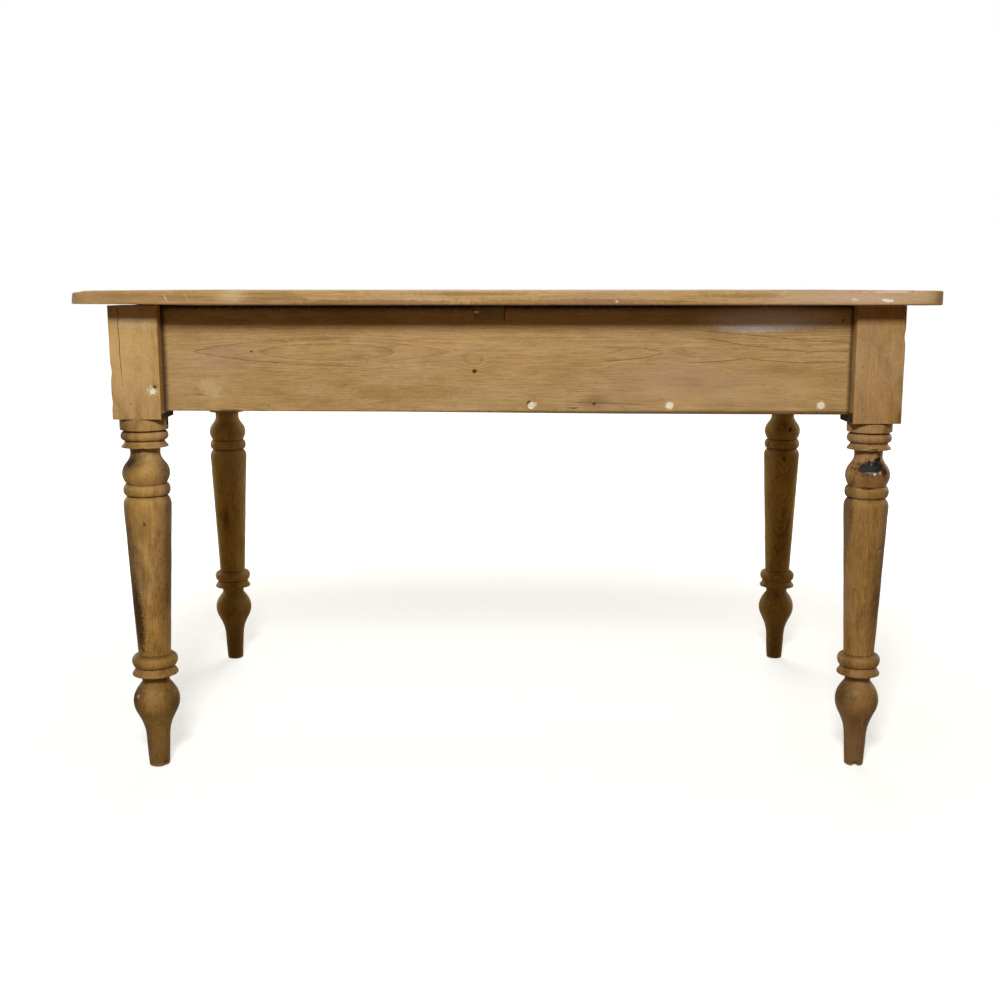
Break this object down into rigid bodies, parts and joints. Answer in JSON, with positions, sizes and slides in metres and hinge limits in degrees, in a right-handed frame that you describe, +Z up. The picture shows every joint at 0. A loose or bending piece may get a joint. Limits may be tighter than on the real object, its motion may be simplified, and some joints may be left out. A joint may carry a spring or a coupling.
{
  "type": "kitchen table",
  "caption": "Old pine kitchen table: a board top with rounded corners on a deep rail frame, carried by turned legs with beads, vases and bulbs.",
  "frame": {"origin": "on the floor, under the middle of the table", "axes": "+X along the table to the right, +Y from the front to the back, +Z up"},
  "size_m": [1.296, 0.772, 0.76],
  "materials": {
    "top_pine": "worn wax",
    "leg_pine": "worn wax",
    "rail_pine": "worn wax",
    "raw_pine": "sawn, bare",
    "pale_wood": "bare",
    "screw_steel": "dulled"
  },
  "bodies": {
    "root": {"bearer_screws": "screw_steel", "cross_bearer": "raw_pine", "glue_block_back_1": "raw_pine", "glue_block_back_2": "raw_pine", "glue_block_back_3": "raw_pine", "glue_block_front_1": "raw_pine", "glue_block_front_2": "raw_pine", "glue_block_front_3": "raw_pine", "glue_block_left_1": "raw_pine", "glue_block_right_1": "raw_pine", "leg_back_left": "leg_pine", "leg_back_right": "leg_pine", "leg_front_left": "leg_pine", "leg_front_right": "leg_pine", "pocket_screws": "screw_steel", "rail_back": "rail_pine", "rail_front": "rail_pine", "rail_left": "rail_pine", "rail_plugs": "pale_wood", "rail_right": "rail_pine", "tenon_peg": "pale_wood", "top_board_1": "top_pine", "top_board_2": "top_pine", "top_board_3": "top_pine", "top_board_4": "top_pine", "top_board_5": "top_pine"}
  },
  "joints": []
}
